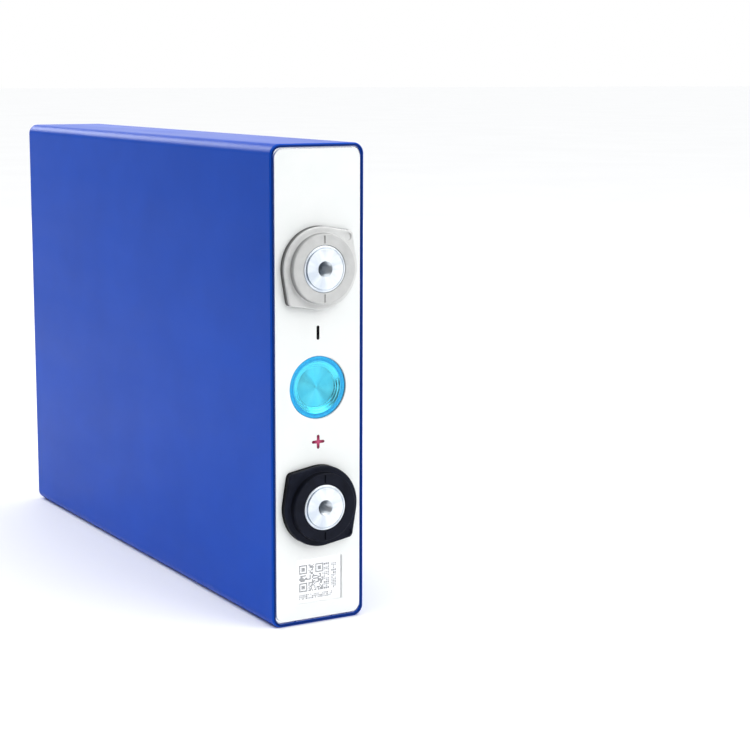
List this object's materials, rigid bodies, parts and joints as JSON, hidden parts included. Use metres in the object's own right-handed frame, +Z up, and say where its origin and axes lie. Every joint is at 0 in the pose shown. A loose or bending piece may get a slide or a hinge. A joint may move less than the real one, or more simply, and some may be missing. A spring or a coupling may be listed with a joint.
{
  "type": "prismatic battery cell",
  "caption": "Flat prismatic lithium battery cell in blue film, lying on its narrow side, with round screw terminals, a vent and a white label on one end.",
  "frame": {"origin": "centre of the narrow side that the cell lies on, on the ground", "axes": "-Y points out of the terminal face, X runs across the thickness, +Z up along the cell's width, with the negative terminal above the positive one"},
  "size_m": [0.0294, 0.1896, 0.1353],
  "materials": {
    "blue_film": "satin polyester film",
    "white_label": "smooth satin label",
    "case_aluminium": "drawn and rolled, satin",
    "vent_film": "clear tinted film",
    "inner_plastic": "natural polypropylene",
    "seal_rubber": "moulded rubber",
    "grey_plastic": "fine moulded texture",
    "black_plastic": "fine moulded texture",
    "plated_pole": "turned and plated, fine lathe marks",
    "copper": "bare copper sheet and foil",
    "collector_aluminium": "bare aluminium sheet and foil",
    "electrode_roll": "separator film over black electrode",
    "core_tape": "thin polypropylene tape"
  },
  "bodies": {
    "root": {"insulating_wrap": "blue_film", "base_patch": "blue_film", "top_label": "white_label", "case_can": "case_aluminium", "cover_plate": "case_aluminium", "vent_disc": "case_aluminium", "vent_film": "vent_film", "vent_guard": "inner_plastic", "fill_port_cap": "case_aluminium", "fill_port_plug": "seal_rubber", "negative_upper_insulator": "grey_plastic", "negative_pole": "plated_pole", "negative_seal_ring": "seal_rubber", "negative_lower_insulator": "inner_plastic", "negative_collector": "copper", "negative_tab_left": "copper", "negative_tab_right": "copper", "negative_weld_guard": "copper", "positive_upper_insulator": "black_plastic", "positive_pole": "plated_pole", "positive_seal_ring": "seal_rubber", "positive_lower_insulator": "inner_plastic", "positive_collector": "collector_aluminium", "positive_tab_left": "collector_aluminium", "positive_tab_right": "collector_aluminium", "positive_weld_guard": "collector_aluminium", "core_roll_left": "electrode_roll", "core_roll_right": "electrode_roll", "core_tape_1": "core_tape", "core_tape_2": "core_tape", "core_tape_3": "core_tape", "core_bag": "inner_plastic", "base_support": "inner_plastic"}
  },
  "joints": []
}
